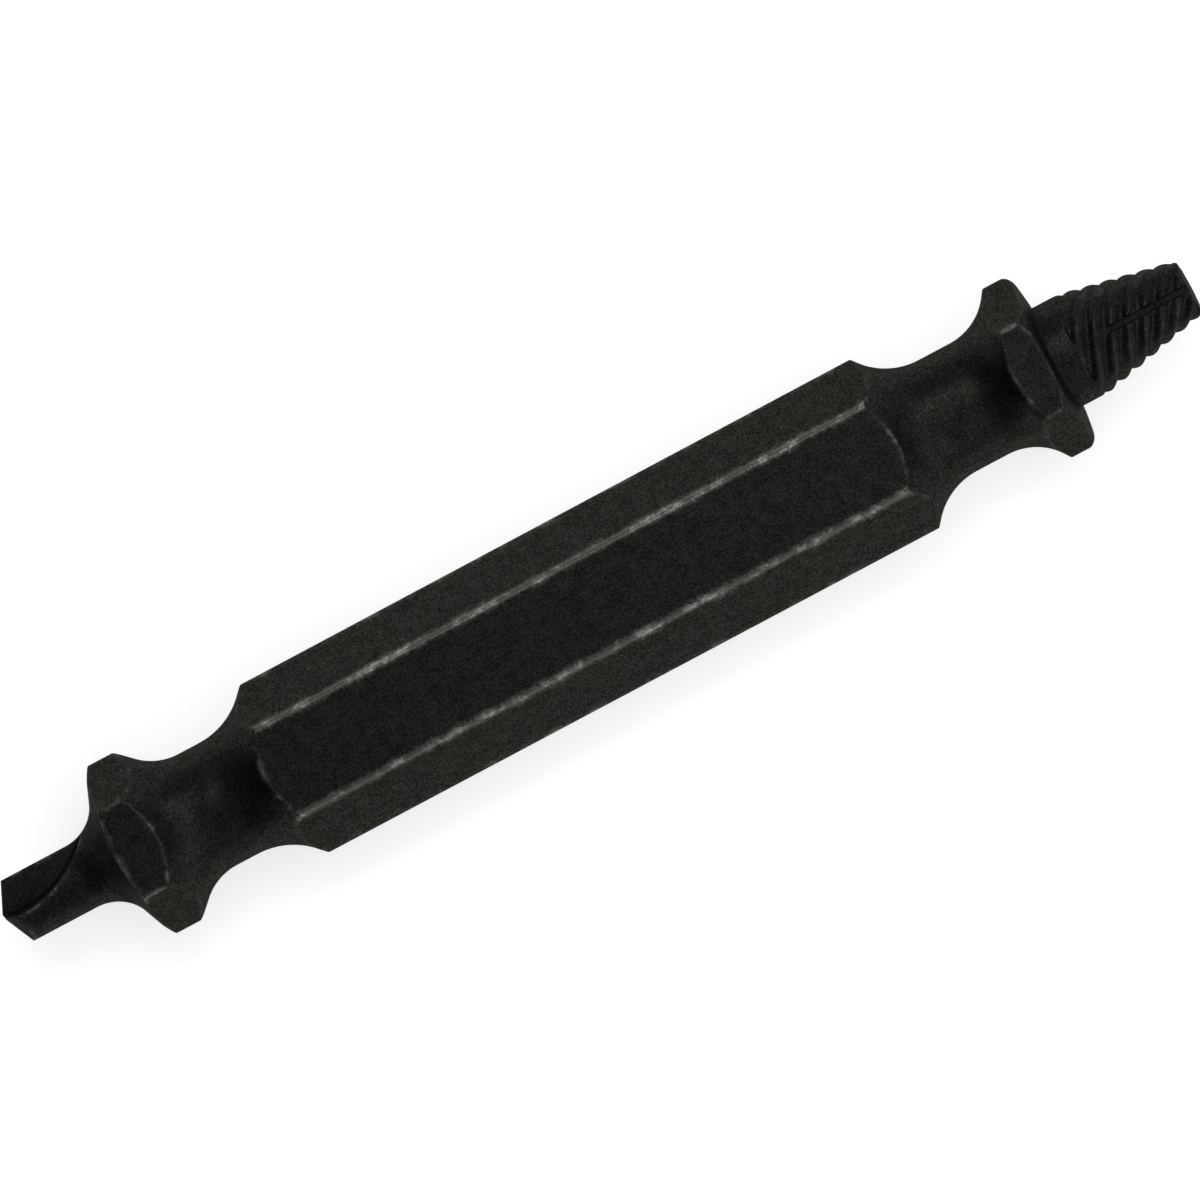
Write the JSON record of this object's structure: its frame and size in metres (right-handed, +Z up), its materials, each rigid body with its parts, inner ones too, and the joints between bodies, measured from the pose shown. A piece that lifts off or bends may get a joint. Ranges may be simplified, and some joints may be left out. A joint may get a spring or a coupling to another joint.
{
  "type": "screw extractor",
  "caption": "Double-ended screw extractor on a hex shank: a short left-hand drill at one end, a tapered left-hand thread at the other, each behind a collar and a turned neck.",
  "frame": {"origin": "on the surface that the tool lies on, below the middle of its length", "axes": "+X along the tool towards the tip of the tapered thread, +Y across the corners of the hexagon, +Z up, square to the flat that it lies on"},
  "size_m": [0.0516, 0.0072, 0.0063],
  "materials": {
    "black_steel": "black oxide over turned and ground steel, satin, with bare bright lines along the worn edges"
  },
  "bodies": {
    "root": {"screw_extractor": "black_steel"}
  },
  "joints": []
}
